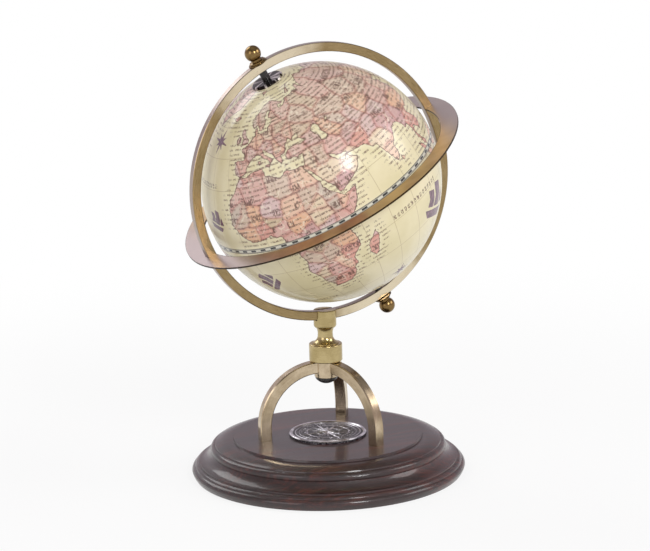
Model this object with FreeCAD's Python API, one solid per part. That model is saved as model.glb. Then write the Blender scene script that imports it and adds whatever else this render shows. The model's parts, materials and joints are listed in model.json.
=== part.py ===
import FreeCAD, Part
import math
import os

# Desktop globe on a turned wooden plinth, built from separate pieces.
# Millimetres, +Z up, origin at the centre of the underside.
# The meridian ring stands in the XZ plane; the north end of its axis leans towards -X.

V = FreeCAD.Vector
UP = V(0, 0, 1)
ALONG_Y = V(0, 1, 0)

# ---------------------------------------------------------------- driving dimensions
# globe ball and its bearings
BALL_RADIUS = 70.0
BALL_WALL = 2.0
SEAM_BAND_HEIGHT = 12.0
SEAM_BAND_WALL = 1.6
SEAM_BAND_GAP = 0.05
CAP_DIA = 19.0
CAP_THICK = 1.1
BUSH_DIA = 8.0
BUSH_FLANGE_DIA = 14.0
BUSH_FLANGE_THICK = 1.5
AXLE_DIA = 3.0
AXLE_RUNNING_GAP = 0.06
AXLE_FIXED_GAP = 0.02
AXLE_TILT_DEG = 27.5

# meridian ring and horizon ring
RING_TO_BALL_GAP = 6.4
RING_BAR_DEPTH = 5.4
RING_BAR_WIDTH = 5.0
RING_EDGE = 0.45
HORIZON_WIDTH = 11.0
HORIZON_TO_BALL_GAP = 7.0
HORIZON_THICK = 1.0
HORIZON_OFFSET = 1.2
HORIZON_NOTCH_GAP = 0.05

# finials, washers and spacers on the axle
FINIAL_BALL_DIA = 9.4
FINIAL_FLANGE_DIA = 9.0
FINIAL_FLANGE_THICK = 1.1
FINIAL_NECK_DIA = 6.0
WASHER_DIA = 11.4
WASHER_THICK = 0.8
SPACER_DIA = 4.8
SPACER_END_GAP = 0.3

# stem: forked column, collar, stud and nut
HEAD_DIA = 13.4
HEAD_FLOOR = 4.8
HEAD_ROUND = 1.8
CHEEK_RISE = 0.4
SLOT_SIDE_GAP = 0.10
SLOT_FLOOR_GAP = 0.30
NECK_DIA = 9.0
NECK_TOP_DIA = 10.6
NECK_FOOT_DIA = 15.6
NECK_FOOT_HEIGHT = 0.5
NECK_FLARE_BOW = 1.0
NECK_TOP_BOW = 0.35
NECK_HEIGHT = 9.4
COLLAR_DIA = 19.6
COLLAR_HEIGHT = 10.5
COLLAR_ROUND = 0.7
STUD_DIA = 5.0
STUD_HOLE_GAP = 0.25
STUD_IN_COLUMN = 8.0
STUD_IN_NUT = 3.6
GRUB_DIA = 3.0
GRUB_LENGTH = 2.6
GRUB_SOCKET_DIA = 1.5
GRUB_SOCKET_DEPTH = 1.2
PAD_DIA = 2.6
PAD_GAP = 0.05

# hub and legs
HUB_DIA = 14.0
HUB_HEIGHT = 9.9
HUB_BEVEL = 0.5
HUB_COUNTERBORE_DIA = 9.0
HUB_COUNTERBORE_DEPTH = 3.2
NUT_BOSS_GAP = 0.2
NUT_DOME_DIA = 12.6
NUT_DOME_HEIGHT = 3.4
NUT_EDGE = 0.4
HUB_WASHER_DIA = 13.0
HUB_WASHER_THICK = 0.6
LEG_DEPTH = 7.0
LEG_WIDTH = 6.5
LEG_EDGE = 0.6
LEG_FOOT_HEIGHT = 8.1
LEG_OUTER_REACH = 42.0
LEG_ARC_INSET = 5.0
LEG_AZIMUTHS = {"leg_left": 172.0, "leg_front": 292.0, "leg_rear": 52.0}

# plinth, pad, medallion and leg screws
PLINTH_TOP = 22.8
PLINTH_RADIUS = 81.1
PLINTH_FOOT_RADIUS = 79.4
PLINTH_BEAD_HEIGHT = 3.9
COVE_FOOT_HEIGHT = 9.3
COVE_FOOT_INSET = 4.6
COVE_BOW = 1.1
REED_TOP_HEIGHT = 8.4
REED_FOOT_HEIGHT = 7.0
REED_INSET = 2.0
REED_STEP = 0.5
REED_BOW = 0.45
COVE_TOP_DROP = 8.5
NOSE_DROP = 6.2
NOSE_INSET = 11.4
SHOULDER_DROP = 3.4
SHOULDER_INSET = 14.2
TOP_INSET = 25.3
TOP_STEP = 1.3
PAD_RECESS = 0.7
PAD_PROUD = 0.3
PAD_INSET = 5.0
PAD_SIDE_GAP = 0.2
MEDALLION_DIA = 45.8
MEDALLION_PLATE = 1.1
MEDALLION_RIM_WIDTH = 2.4
MEDALLION_RIM_RISE = 0.8
MEDALLION_RELIEF = 0.35
SCREW_DIA = 4.0
SCREW_HOLE_GAP = 0.25
SCREW_IN_LEG = 10.0
SCREW_HEAD_DIA = 7.6
SCREW_HEAD_THICK = 2.4
SCREW_SOCKET_DIA = 3.0
SCREW_SOCKET_DEPTH = 1.3
LEG_WASHER_DIA = 9.0
LEG_WASHER_THICK = 0.8
COUNTERBORE_GAP = 0.4
COUNTERBORE_CEILING = 8.0

# ---------------------------------------------------------------- derived sizes
RING_INNER_RADIUS = BALL_RADIUS + RING_TO_BALL_GAP
RING_OUTER_RADIUS = RING_INNER_RADIUS + RING_BAR_DEPTH
HORIZON_INNER_RADIUS = BALL_RADIUS + HORIZON_TO_BALL_GAP
HORIZON_OUTER_RADIUS = HORIZON_INNER_RADIUS + HORIZON_WIDTH
TOP_RADIUS = PLINTH_RADIUS - TOP_INSET
SHOULDER_HEIGHT = PLINTH_TOP - SHOULDER_DROP
NOSE_HEIGHT = PLINTH_TOP - NOSE_DROP
COVE_TOP_HEIGHT = PLINTH_TOP - COVE_TOP_DROP
LEG_OUTER_ARC = LEG_OUTER_REACH - LEG_ARC_INSET
LEG_ARC_Z = PLINTH_TOP + LEG_FOOT_HEIGHT
HUB_TOP = LEG_ARC_Z + LEG_OUTER_ARC
HUB_BOTTOM = HUB_TOP - HUB_HEIGHT
COLLAR_TOP = HUB_TOP + COLLAR_HEIGHT
HEAD_BOTTOM = COLLAR_TOP + NECK_HEIGHT
HEAD_TOP = HEAD_BOTTOM + HEAD_FLOOR + SLOT_FLOOR_GAP + RING_BAR_DEPTH + CHEEK_RISE
GLOBE_Z = HEAD_TOP - CHEEK_RISE + RING_INNER_RADIUS
GLOBE_CENTRE = V(0, 0, GLOBE_Z)
SLOT_WIDTH = RING_BAR_WIDTH + 2 * SLOT_SIDE_GAP
FOOT_CENTRE = LEG_OUTER_REACH - LEG_DEPTH / 2
WASHER_TOP = RING_OUTER_RADIUS + WASHER_THICK
FINIAL_BALL_CENTRE = WASHER_TOP + FINIAL_FLANGE_THICK + FINIAL_BALL_DIA / 2
AXLE_HALF = FINIAL_BALL_CENTRE + 0.5
AXLE_HOLE = AXLE_DIA + 2 * AXLE_FIXED_GAP
AXLE_BEARING = AXLE_DIA + 2 * AXLE_RUNNING_GAP
TILT = math.radians(AXLE_TILT_DEG)
AXIS = V(-math.sin(TILT), 0, math.cos(TILT))

os.makedirs("parts", exist_ok=True)


# ---------------------------------------------------------------- small helpers
def save(node, shape):
    """Write one sub-part to its own file."""
    shape.exportStep("parts/" + node + ".step")


def cylinder(diameter, height, base=V(0, 0, 0)):
    return Part.makeCylinder(diameter / 2, height, base, UP)


def line(a, b):
    return Part.makeLine(a, b)


def arc(a, middle, b):
    return Part.Arc(a, middle, b).toShape()


def turned(edges, degrees=360):
    """Solid turned about Z from edges drawn in the XZ plane."""
    face = Part.Face(Part.Wire(edges))
    return face.revolve(V(0, 0, 0), UP, degrees)


def polyline(points):
    """Straight edges through (radius, height) points."""
    corners = [V(r, 0, z) for r, z in points]
    return [line(a, b) for a, b in zip(corners, corners[1:])]


def bowed(a, b, bulge):
    """Arc between two (radius, height) points; bulge is the height of its bow."""
    start = V(a[0], 0, a[1])
    end = V(b[0], 0, b[1])
    chord = end - start
    side = V(chord.z, 0, -chord.x)
    side.normalize()
    return arc(start, (start + end) * 0.5 + side * bulge, end)


def on_axis(shape):
    """Carry a piece drawn upright about the origin onto the leaning globe axis."""
    placed = shape.copy()
    placed.rotate(V(0, 0, 0), ALONG_Y, -AXLE_TILT_DEG)
    placed.translate(GLOBE_CENTRE)
    return placed


def mirrored_south(shape):
    """The same turned piece for the other pole, still upright about the origin."""
    return shape.mirror(V(0, 0, 0), UP)


def rounded_bar_section(centre_x, depth, width, edge):
    """Closed wire in the XY plane: a bar's section with bevelled corners."""
    x0 = centre_x - depth / 2
    x1 = centre_x + depth / 2
    y0 = -width / 2
    y1 = width / 2
    corners = [
        V(x0 + edge, y0, 0), V(x1 - edge, y0, 0), V(x1, y0 + edge, 0), V(x1, y1 - edge, 0),
        V(x1 - edge, y1, 0), V(x0 + edge, y1, 0), V(x0, y1 - edge, 0), V(x0, y0 + edge, 0),
    ]
    return Part.makePolygon(corners + corners[:1])


# ---------------------------------------------------------------- plinth and pad
def foot_places():
    """Centre of each leg's foot on the plinth."""
    for azimuth in LEG_AZIMUTHS.values():
        angle = math.radians(azimuth)
        yield V(FOOT_CENTRE * math.cos(angle), FOOT_CENTRE * math.sin(angle), 0)


def base_plinth():
    """Turned plinth: flat top, stepped shoulder, nose, cove, reed and foot bead."""
    cove_foot = PLINTH_RADIUS - COVE_FOOT_INSET
    cove_top = PLINTH_RADIUS - NOSE_INSET - 0.3
    nose = PLINTH_RADIUS - NOSE_INSET
    shoulder = PLINTH_RADIUS - SHOULDER_INSET
    step_floor = PLINTH_TOP - TOP_STEP
    edges = polyline([(0, PAD_PROUD), (0, PLINTH_TOP), (TOP_RADIUS, PLINTH_TOP)])
    edges += polyline([(TOP_RADIUS, PLINTH_TOP), (TOP_RADIUS + 0.4, step_floor)])
    edges.append(bowed((TOP_RADIUS + 0.4, step_floor), (shoulder, SHOULDER_HEIGHT), -0.7))
    edges += polyline([(shoulder, SHOULDER_HEIGHT), (shoulder + 0.3, SHOULDER_HEIGHT - 0.7)])
    edges.append(bowed((shoulder + 0.3, SHOULDER_HEIGHT - 0.7), (nose, NOSE_HEIGHT), -0.6))
    edges.append(bowed((nose, NOSE_HEIGHT), (cove_top, COVE_TOP_HEIGHT), -0.25))
    edges.append(bowed((cove_top, COVE_TOP_HEIGHT), (cove_foot, COVE_FOOT_HEIGHT), COVE_BOW))
    reed_top = (cove_foot + 0.2, REED_TOP_HEIGHT)
    reed_foot = (PLINTH_RADIUS - REED_INSET, REED_FOOT_HEIGHT)
    bead_top = (reed_foot[0] + 0.1, REED_FOOT_HEIGHT - REED_STEP)
    edges += polyline([(cove_foot, COVE_FOOT_HEIGHT), reed_top])
    edges.append(bowed(reed_top, reed_foot, -REED_BOW))
    edges += polyline([reed_foot, bead_top])
    edges.append(bowed(bead_top, (PLINTH_RADIUS, PLINTH_BEAD_HEIGHT), -REED_BOW))
    edges.append(bowed((PLINTH_RADIUS, PLINTH_BEAD_HEIGHT), (PLINTH_FOOT_RADIUS, PAD_PROUD), -0.2))
    edges += polyline([(PLINTH_FOOT_RADIUS, PAD_PROUD), (0, PAD_PROUD)])
    body = turned(edges)
    recess_dia = 2 * (PLINTH_FOOT_RADIUS - PAD_INSET)
    body = body.cut(cylinder(recess_dia, PAD_RECESS, V(0, 0, PAD_PROUD)))
    for place in foot_places():
        counterbore = cylinder(LEG_WASHER_DIA + 2 * COUNTERBORE_GAP, COUNTERBORE_CEILING, place)
        clearance = cylinder(SCREW_DIA + 2 * SCREW_HOLE_GAP, PLINTH_TOP + 1, place)
        body = body.cut(counterbore).cut(clearance)
    return body


def base_felt_pad():
    """Felt disc let into the underside; it stands slightly proud."""
    diameter = 2 * (PLINTH_FOOT_RADIUS - PAD_INSET - PAD_SIDE_GAP)
    return cylinder(diameter, PAD_PROUD + PAD_RECESS)


def compass_medallion():
    """Cast disc with a raised rim, two rings and a plain eight-point compass star."""
    radius = MEDALLION_DIA / 2
    rim_inner = radius - MEDALLION_RIM_WIDTH
    rim_top = MEDALLION_PLATE + MEDALLION_RIM_RISE
    edges = polyline([(0, 0), (radius, 0), (radius, MEDALLION_PLATE)])
    edges.append(bowed((radius, MEDALLION_PLATE), (radius - 0.8, rim_top), 0.2))
    edges += polyline([(radius - 0.8, rim_top), (rim_inner, MEDALLION_PLATE)])
    edges += polyline([(rim_inner, MEDALLION_PLATE), (0, MEDALLION_PLATE), (0, 0)])
    disc = turned(edges)
    relief = MEDALLION_PLATE + MEDALLION_RELIEF
    for share in (0.72, 0.46):
        outer = cylinder(2 * radius * share, relief)
        disc = disc.fuse(outer.cut(cylinder(2 * radius * share - 1.2, relief)))
    for turn, reach in ((45, 0.52), (0, 0.80)):
        disc = disc.fuse(compass_star(radius * reach, relief, turn))
    disc = disc.removeSplitter()
    disc.translate(V(0, 0, PLINTH_TOP))
    return disc


def compass_star(reach, height, turn_deg):
    """Four-point star of the given reach, as a flat prism."""
    points = []
    for step in range(8):
        radius = reach if step % 2 == 0 else reach * 0.17
        angle = math.radians(turn_deg + 45 * step)
        points.append(V(radius * math.cos(angle), radius * math.sin(angle), 0))
    face = Part.Face(Part.makePolygon(points + points[:1]))
    return face.extrude(V(0, 0, height))


# ---------------------------------------------------------------- legs and their screws
def leg(azimuth):
    """Square bar: upright foot on the plinth, then a quarter arc into the hub."""
    section = Part.Face(rounded_bar_section(FOOT_CENTRE, LEG_DEPTH, LEG_WIDTH, LEG_EDGE))
    foot = section.extrude(V(0, 0, LEG_FOOT_HEIGHT))
    foot.translate(V(0, 0, PLINTH_TOP))
    section.translate(V(0, 0, LEG_ARC_Z))
    bend = section.revolve(V(LEG_ARC_INSET, 0, LEG_ARC_Z), ALONG_Y, -90)
    bar = foot.fuse(bend).removeSplitter()
    bar = bar.cut(cylinder(HUB_DIA, HUB_HEIGHT + 1, V(0, 0, HUB_BOTTOM)))
    bar = bar.cut(cylinder(SCREW_DIA, SCREW_IN_LEG + 1, V(FOOT_CENTRE, 0, PLINTH_TOP)))
    bar.rotate(V(0, 0, 0), UP, azimuth)
    return bar


def leg_screws():
    """Three pan-head socket screws driven up from under the plinth into the feet."""
    head_top = COUNTERBORE_CEILING - LEG_WASHER_THICK
    length = PLINTH_TOP + SCREW_IN_LEG - head_top
    head = cylinder(SCREW_HEAD_DIA, SCREW_HEAD_THICK, V(0, 0, head_top - SCREW_HEAD_THICK))
    socket_floor = head_top - SCREW_HEAD_THICK
    socket = cylinder(SCREW_SOCKET_DIA, SCREW_SOCKET_DEPTH, V(0, 0, socket_floor))
    screw = head.cut(socket).fuse(cylinder(SCREW_DIA, length, V(0, 0, head_top)))
    return copies_at_feet(screw.removeSplitter())


def leg_washers():
    """Flat washers between the screw heads and the counterbored plinth."""
    bottom = V(0, 0, COUNTERBORE_CEILING - LEG_WASHER_THICK)
    washer = cylinder(LEG_WASHER_DIA, LEG_WASHER_THICK, bottom)
    bore = cylinder(SCREW_DIA + 2 * SCREW_HOLE_GAP, LEG_WASHER_THICK, bottom)
    return copies_at_feet(washer.cut(bore))


def copies_at_feet(shape):
    """One compound with a copy of the shape under each foot."""
    placed = []
    for place in foot_places():
        copy = shape.copy()
        copy.translate(place)
        placed.append(copy)
    return Part.makeCompound(placed)


# ---------------------------------------------------------------- hub, stud and nut
def leg_hub():
    """Round hub that the legs are brazed to, bored for the stud."""
    radius = HUB_DIA / 2
    edges = polyline([
        (0, HUB_BOTTOM), (radius - HUB_BEVEL, HUB_BOTTOM), (radius, HUB_BOTTOM + HUB_BEVEL),
        (radius, HUB_TOP), (0, HUB_TOP), (0, HUB_BOTTOM),
    ])
    hub = turned(edges)
    hub = hub.cut(cylinder(HUB_COUNTERBORE_DIA, HUB_COUNTERBORE_DEPTH, V(0, 0, HUB_BOTTOM)))
    return hub.cut(cylinder(STUD_DIA + 2 * STUD_HOLE_GAP, HUB_HEIGHT, V(0, 0, HUB_BOTTOM)))


def hub_washer():
    """Thin washer between the hub and the cap nut."""
    bottom = V(0, 0, HUB_BOTTOM - HUB_WASHER_THICK)
    washer = cylinder(HUB_WASHER_DIA, HUB_WASHER_THICK, bottom)
    return washer.cut(cylinder(HUB_COUNTERBORE_DIA, HUB_WASHER_THICK, bottom))


def hub_cap_nut():
    """Low domed nut with a boss that enters the hub's counterbore."""
    seat = HUB_BOTTOM - HUB_WASHER_THICK
    radius = NUT_DOME_DIA / 2
    boss = HUB_COUNTERBORE_DIA / 2 - NUT_BOSS_GAP
    boss_top = HUB_BOTTOM + HUB_COUNTERBORE_DEPTH - NUT_BOSS_GAP
    crown = seat - NUT_DOME_HEIGHT
    rise = NUT_DOME_HEIGHT - NUT_EDGE
    sphere = (radius ** 2 + rise ** 2) / (2 * rise)
    halfway = V(radius / 2, 0, crown + sphere - math.sqrt(sphere ** 2 - radius ** 2 / 4))
    edges = polyline([(0, crown), (0, boss_top), (boss, boss_top), (boss, seat)])
    edges += polyline([(boss, seat), (radius, seat), (radius, seat - NUT_EDGE)])
    edges.append(arc(V(radius, 0, seat - NUT_EDGE), halfway, V(0, 0, crown)))
    nut = turned(edges)
    return nut.cut(cylinder(STUD_DIA, STUD_IN_NUT + 0.5, V(0, 0, boss_top - STUD_IN_NUT - 0.5)))


def stem_stud():
    """Stud that ties cap nut, hub, collar and column together."""
    bottom = HUB_BOTTOM + HUB_COUNTERBORE_DEPTH - NUT_BOSS_GAP - STUD_IN_NUT
    top = COLLAR_TOP + STUD_IN_COLUMN
    return cylinder(STUD_DIA, top - bottom, V(0, 0, bottom))


# ---------------------------------------------------------------- collar and column
def stem_collar():
    """Plain round collar with softened edges."""
    collar = cylinder(COLLAR_DIA, COLLAR_HEIGHT, V(0, 0, HUB_TOP))
    rims = [e for e in collar.Edges if isinstance(e.Curve, Part.Circle)]
    collar = collar.makeFillet(COLLAR_ROUND, rims)
    return collar.cut(cylinder(STUD_DIA + 2 * STUD_HOLE_GAP, COLLAR_HEIGHT, V(0, 0, HUB_TOP)))


def stem_column():
    """Turned column: flared foot, waisted neck and a slotted head that grips the ring."""
    foot = NECK_FOOT_DIA / 2
    neck = NECK_DIA / 2
    neck_top = NECK_TOP_DIA / 2
    head = HEAD_DIA / 2
    foot_top = COLLAR_TOP + NECK_FOOT_HEIGHT
    waist = COLLAR_TOP + NECK_HEIGHT * 0.55
    edges = polyline([(0, COLLAR_TOP), (foot, COLLAR_TOP), (foot, foot_top)])
    edges.append(bowed((foot, foot_top), (neck, waist), -NECK_FLARE_BOW))
    edges.append(bowed((neck, waist), (neck_top, HEAD_BOTTOM), -NECK_TOP_BOW))
    edges.append(bowed((neck_top, HEAD_BOTTOM), (head, HEAD_BOTTOM + HEAD_ROUND), 0.35))
    edges += polyline([(head, HEAD_BOTTOM + HEAD_ROUND), (head, HEAD_TOP - 0.4)])
    edges += polyline([(head, HEAD_TOP - 0.4), (head - 0.4, HEAD_TOP), (0, HEAD_TOP)])
    edges += polyline([(0, HEAD_TOP), (0, COLLAR_TOP)])
    column = turned(edges)
    column = column.cut(ring_slot())
    column = column.cut(cylinder(STUD_DIA, STUD_IN_COLUMN + 0.5, V(0, 0, COLLAR_TOP)))
    return column.cut(grub_bore())


def ring_slot():
    """Space for the ring bar: straight sides and a floor that follows the ring."""
    radius = RING_OUTER_RADIUS + SLOT_FLOOR_GAP
    return Part.makeCylinder(radius, SLOT_WIDTH, V(0, -SLOT_WIDTH / 2, GLOBE_Z), ALONG_Y)


def grub_height():
    """Height of the clamp screw: the middle of the ring bar in the head."""
    return GLOBE_Z - (RING_INNER_RADIUS + RING_OUTER_RADIUS) / 2


def grub_bore():
    """Tapped cross hole through the rear cheek of the head."""
    return Part.makeCylinder(GRUB_DIA / 2, HEAD_DIA, V(0, SLOT_WIDTH / 2 - 0.5, grub_height()), ALONG_Y)


def fork_pad():
    """Small nylon pad that the clamp screw presses on the ring."""
    start = V(0, RING_BAR_WIDTH / 2 + PAD_GAP, grub_height())
    return Part.makeCylinder(PAD_DIA / 2, pad_length(), start, ALONG_Y)


def pad_length():
    """The pad fills the hole between the ring and the clamp screw."""
    return HEAD_DIA / 2 - 0.6 - GRUB_LENGTH - RING_BAR_WIDTH / 2 - PAD_GAP


def fork_grub_screw():
    """Headless socket screw in the rear cheek."""
    start = RING_BAR_WIDTH / 2 + PAD_GAP + pad_length()
    screw = Part.makeCylinder(GRUB_DIA / 2, GRUB_LENGTH, V(0, start, grub_height()), ALONG_Y)
    socket_start = V(0, start + GRUB_LENGTH - GRUB_SOCKET_DEPTH, grub_height())
    return screw.cut(Part.makeCylinder(GRUB_SOCKET_DIA / 2, GRUB_SOCKET_DEPTH, socket_start, ALONG_Y))


# ---------------------------------------------------------------- rings
def ring_section(inner, outer, width, edge):
    """Bevelled rectangle in the XZ plane, for a ring turned about Z."""
    half = width / 2
    return polyline([
        (inner + edge, -half), (outer - edge, -half), (outer, -half + edge), (outer, half - edge),
        (outer - edge, half), (inner + edge, half), (inner, half - edge), (inner, -half + edge),
        (inner + edge, -half),
    ])


def meridian_ring():
    """Full ring of square bar in the XZ plane, drilled through at both poles."""
    ring = turned(ring_section(RING_INNER_RADIUS, RING_OUTER_RADIUS, RING_BAR_WIDTH, RING_EDGE))
    ring.rotate(V(0, 0, 0), V(1, 0, 0), 90)
    length = 2 * (RING_OUTER_RADIUS + 1)
    ring = ring.cut(cylinder(AXLE_HOLE, length, V(0, 0, -length / 2)))
    return on_axis(ring)


def horizon_ring():
    """Thin flat ring round the equator, notched on its inside to pass the meridian bar."""
    bottom = V(0, 0, HORIZON_OFFSET - HORIZON_THICK / 2)
    plate = cylinder(2 * HORIZON_OUTER_RADIUS, HORIZON_THICK, bottom)
    plate = plate.cut(cylinder(2 * HORIZON_INNER_RADIUS, HORIZON_THICK, bottom))
    reach = RING_OUTER_RADIUS + HORIZON_NOTCH_GAP
    width = RING_BAR_WIDTH + 2 * HORIZON_NOTCH_GAP
    notch = Part.makeBox(2 * reach, width, HORIZON_THICK, V(-reach, -width / 2, bottom.z))
    return on_axis(plate.cut(notch))


# ---------------------------------------------------------------- axle and what it carries
def axle_rod():
    """Straight rod through the globe, fixed in the ring by the finials."""
    return on_axis(cylinder(AXLE_DIA, 2 * AXLE_HALF, V(0, 0, -AXLE_HALF)))


def finial():
    """Ball finial on a short flange, tapped to take the end of the axle."""
    flange = FINIAL_FLANGE_DIA / 2
    neck = FINIAL_NECK_DIA / 2
    ball = FINIAL_BALL_DIA / 2
    flange_top = WASHER_TOP + FINIAL_FLANGE_THICK
    neck_meets_ball = FINIAL_BALL_CENTRE - math.sqrt(ball ** 2 - neck ** 2)
    side_of_ball = V(ball, 0, FINIAL_BALL_CENTRE)
    crown = V(0, 0, FINIAL_BALL_CENTRE + ball)
    edges = polyline([(0, WASHER_TOP), (flange, WASHER_TOP), (flange, flange_top - 0.3)])
    edges += polyline([(flange, flange_top - 0.3), (neck, flange_top), (neck, neck_meets_ball)])
    edges.append(arc(V(neck, 0, neck_meets_ball), side_of_ball, crown))
    edges.append(line(crown, V(0, 0, WASHER_TOP)))
    body = turned(edges)
    return body.cut(cylinder(AXLE_DIA, AXLE_HALF - WASHER_TOP + 0.5, V(0, 0, WASHER_TOP)))


def ring_washer():
    """Thin turned washer between finial and ring."""
    seat = RING_OUTER_RADIUS
    radius = WASHER_DIA / 2
    edges = polyline([
        (AXLE_HOLE / 2, seat), (radius - 0.3, seat), (radius, seat + 0.3),
        (radius - 0.5, WASHER_TOP), (AXLE_HOLE / 2, WASHER_TOP), (AXLE_HOLE / 2, seat),
    ])
    return turned(edges)


def spacer():
    """Short tube that keeps the globe central between the ring's inner faces."""
    bottom = BALL_RADIUS + CAP_THICK + SPACER_END_GAP
    length = math.sqrt(RING_INNER_RADIUS ** 2 - (SPACER_DIA / 2) ** 2) - bottom
    tube = cylinder(SPACER_DIA, length, V(0, 0, bottom))
    return tube.cut(cylinder(AXLE_HOLE, length, V(0, 0, bottom)))


# ---------------------------------------------------------------- globe
def hemisphere():
    """Northern half of the hollow ball, open at the pole for the bush."""
    inner = BALL_RADIUS - BALL_WALL
    half = Part.makeSphere(BALL_RADIUS, V(0, 0, 0), UP, 0, 90, 360)
    half = half.cut(Part.makeSphere(inner, V(0, 0, 0), UP, -90, 90, 360))
    return half.cut(cylinder(BUSH_DIA, BALL_RADIUS + 1))


def seam_band():
    """Inner band that joins the two halves at the equator."""
    outer = BALL_RADIUS - BALL_WALL - SEAM_BAND_GAP
    inner_radius = outer - SEAM_BAND_WALL
    half = SEAM_BAND_HEIGHT / 2
    ball = Part.makeSphere(outer, V(0, 0, 0), UP, -90, 90, 360)
    band = ball.common(cylinder(2 * outer + 1, SEAM_BAND_HEIGHT, V(0, 0, -half)))
    band = band.cut(cylinder(2 * inner_radius, SEAM_BAND_HEIGHT, V(0, 0, -half)))
    return on_axis(band)


def pole_cap():
    """Polished dished disc on the pole with a bevelled rim."""
    radius = CAP_DIA / 2
    bore = AXLE_BEARING / 2
    rim_seat = math.sqrt(BALL_RADIUS ** 2 - radius ** 2)
    bore_seat = math.sqrt(BALL_RADIUS ** 2 - bore ** 2)
    mid = radius * 0.5
    mid_seat = math.sqrt(BALL_RADIUS ** 2 - mid ** 2)
    top = BALL_RADIUS + CAP_THICK
    edges = [arc(V(bore, 0, bore_seat), V(mid, 0, mid_seat), V(radius, 0, rim_seat))]
    edges += polyline([(radius, rim_seat), (radius, top - 0.7), (radius - 0.7, top)])
    edges += polyline([(radius - 0.7, top), (bore, top), (bore, bore_seat)])
    return turned(edges)


def pole_bush():
    """Flanged bush inside the pole hole; the ball turns on the axle here."""
    pole_inner = math.sqrt((BALL_RADIUS - BALL_WALL) ** 2 - (BUSH_FLANGE_DIA / 2) ** 2)
    bore = AXLE_BEARING / 2
    radius = BUSH_DIA / 2
    flange = BUSH_FLANGE_DIA / 2
    inner = BALL_RADIUS - BALL_WALL
    root = math.sqrt(inner ** 2 - radius ** 2)
    neck_top = math.sqrt(BALL_RADIUS ** 2 - radius ** 2)
    middle = (radius + flange) / 2
    seat_middle = V(middle, 0, math.sqrt(inner ** 2 - middle ** 2))
    bottom = pole_inner - BUSH_FLANGE_THICK
    edges = polyline([(bore, bottom), (flange, bottom), (flange, pole_inner)])
    edges.append(arc(V(flange, 0, pole_inner), seat_middle, V(radius, 0, root)))
    edges += polyline([(radius, root), (radius, neck_top), (bore, neck_top), (bore, bottom)])
    return turned(edges)


# ---------------------------------------------------------------- write every sub-part
save("base_plinth", base_plinth())
save("base_felt_pad", base_felt_pad())
save("compass_medallion", compass_medallion())
for name, azimuth in LEG_AZIMUTHS.items():
    save(name, leg(azimuth))
save("leg_screws", leg_screws())
save("leg_washers", leg_washers())
save("leg_hub", leg_hub())
save("hub_washer", hub_washer())
save("hub_cap_nut", hub_cap_nut())
save("stem_stud", stem_stud())
save("stem_collar", stem_collar())
save("stem_column", stem_column())
save("fork_pad", fork_pad())
save("fork_grub_screw", fork_grub_screw())
save("meridian_ring", meridian_ring())
save("horizon_ring", horizon_ring())
save("axle_rod", axle_rod())
save("globe_seam_band", seam_band())
POLE_PIECES = {
    "finial": finial(),
    "washer": ring_washer(),
    "spacer": spacer(),
    "pole_cap": pole_cap(),
    "bush": pole_bush(),
    "globe_half": hemisphere(),
}
for piece, shape in POLE_PIECES.items():
    save("north_" + piece, on_axis(shape))
    save("south_" + piece, on_axis(mirrored_south(shape)))
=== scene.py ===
import json
import math

import bpy
import numpy as np
from mathutils import Matrix, Vector


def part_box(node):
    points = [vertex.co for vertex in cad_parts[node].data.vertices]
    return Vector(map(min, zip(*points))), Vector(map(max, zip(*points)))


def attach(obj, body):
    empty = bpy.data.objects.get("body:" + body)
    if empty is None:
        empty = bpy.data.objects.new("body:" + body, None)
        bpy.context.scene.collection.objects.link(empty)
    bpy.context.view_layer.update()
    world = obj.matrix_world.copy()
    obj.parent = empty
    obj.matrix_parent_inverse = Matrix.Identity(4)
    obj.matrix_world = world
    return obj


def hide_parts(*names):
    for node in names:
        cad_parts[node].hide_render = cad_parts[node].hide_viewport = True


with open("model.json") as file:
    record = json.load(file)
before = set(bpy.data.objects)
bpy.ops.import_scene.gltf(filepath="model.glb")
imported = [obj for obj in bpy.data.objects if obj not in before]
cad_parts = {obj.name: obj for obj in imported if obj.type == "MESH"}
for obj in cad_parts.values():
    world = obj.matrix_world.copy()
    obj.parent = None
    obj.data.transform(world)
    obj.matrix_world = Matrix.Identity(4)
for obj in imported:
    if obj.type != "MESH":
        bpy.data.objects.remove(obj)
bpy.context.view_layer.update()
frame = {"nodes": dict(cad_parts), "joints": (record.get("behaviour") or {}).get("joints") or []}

MM = 0.001
SPIN_JOINT = next(j for j in frame["joints"] if j["name"] == "globe_spin")
GLOBE_CENTRE = Vector(SPIN_JOINT["pos_m"])
POLE = Vector(SPIN_JOINT["axis"]).normalized()
AXLE_LEAN = math.atan2(POLE.x, POLE.z)
BALL_RADIUS = 70.0 * MM
RING_INNER_RIM = 76.6 * MM
RING_OUTER_RIM = 81.6 * MM
RING_FRONT_FACE = 2.3 * MM
HORIZON_INNER_EDGE = 77.25 * MM
HORIZON_OUTER_EDGE = 87.85 * MM


# ---------------------------------------------------------------- shader writing
def set_stops(ramp, stops):
    """Give a colour ramp its (place, colour) stops."""
    while len(ramp.elements) < len(stops):
        ramp.elements.new(0.5)
    for element, (place, colour) in zip(ramp.elements, stops):
        element.position = place
        element.color = (*colour, 1.0)


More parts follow.
